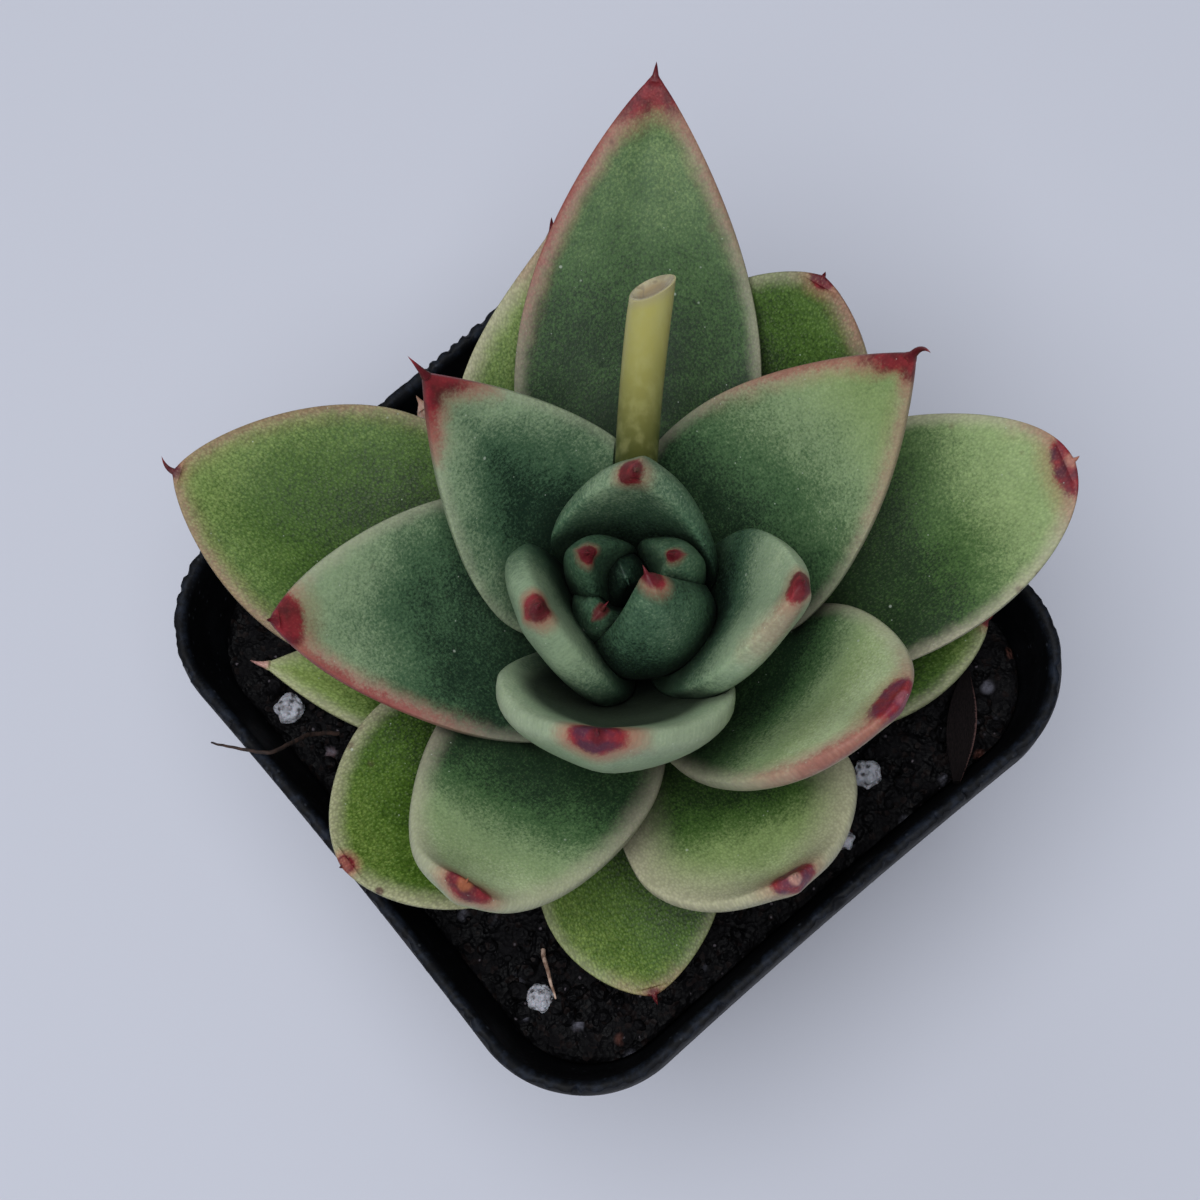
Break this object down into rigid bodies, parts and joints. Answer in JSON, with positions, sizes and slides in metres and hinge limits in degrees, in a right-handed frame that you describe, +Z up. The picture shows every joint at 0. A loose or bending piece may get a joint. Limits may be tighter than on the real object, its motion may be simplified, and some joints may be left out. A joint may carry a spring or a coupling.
{
  "type": "potted ice soul echeveria",
  "caption": "Small succulent rosette of plump, cupped, red-tipped leaves with a cut flower stalk, growing in a square black nursery pot of dark potting mix.",
  "frame": {"origin": "centre of the pot's underside, on the surface it stands on", "axes": "+Z up out of the pot; X and Y along the pot's sides, with the picture's camera near the -Y side and the flower stalk leaning towards +X +Y"},
  "size_m": [0.0798, 0.0735, 0.0969],
  "materials": {
    "pot_plastic": "satin black",
    "potting_mix": "crumbly, matte",
    "stem_bark": "matte",
    "inner_leaf": "waxy bloom, blue-green",
    "outer_leaf": "satin, yellow-green",
    "dry_leaf": "papery",
    "stalk_flesh": "smooth, fleshy",
    "perlite": "porous, matte",
    "fibre": "dry, matte"
  },
  "bodies": {
    "root": {"pot": "pot_plastic", "soil": "potting_mix", "stem": "stem_bark", "leaf_01": "inner_leaf", "leaf_02": "inner_leaf", "leaf_03": "inner_leaf", "leaf_04": "inner_leaf", "leaf_05": "inner_leaf", "leaf_06": "inner_leaf", "leaf_07": "inner_leaf", "leaf_08": "inner_leaf", "leaf_09": "inner_leaf", "leaf_10": "inner_leaf", "leaf_11": "inner_leaf", "leaf_12": "inner_leaf", "leaf_13": "inner_leaf", "leaf_14": "inner_leaf", "leaf_15": "inner_leaf", "leaf_16": "outer_leaf", "leaf_17": "outer_leaf", "leaf_18": "outer_leaf", "leaf_19": "outer_leaf", "leaf_20": "outer_leaf", "leaf_21": "outer_leaf", "leaf_22": "outer_leaf", "leaf_23": "outer_leaf", "leaf_24": "outer_leaf", "leaf_25": "outer_leaf", "dry_leaf": "dry_leaf", "flower_stalk": "stalk_flesh", "perlite_1": "perlite", "perlite_2": "perlite", "perlite_3": "perlite", "perlite_4": "perlite", "rootlet": "fibre", "straw": "fibre", "husk": "fibre"}
  },
  "joints": []
}
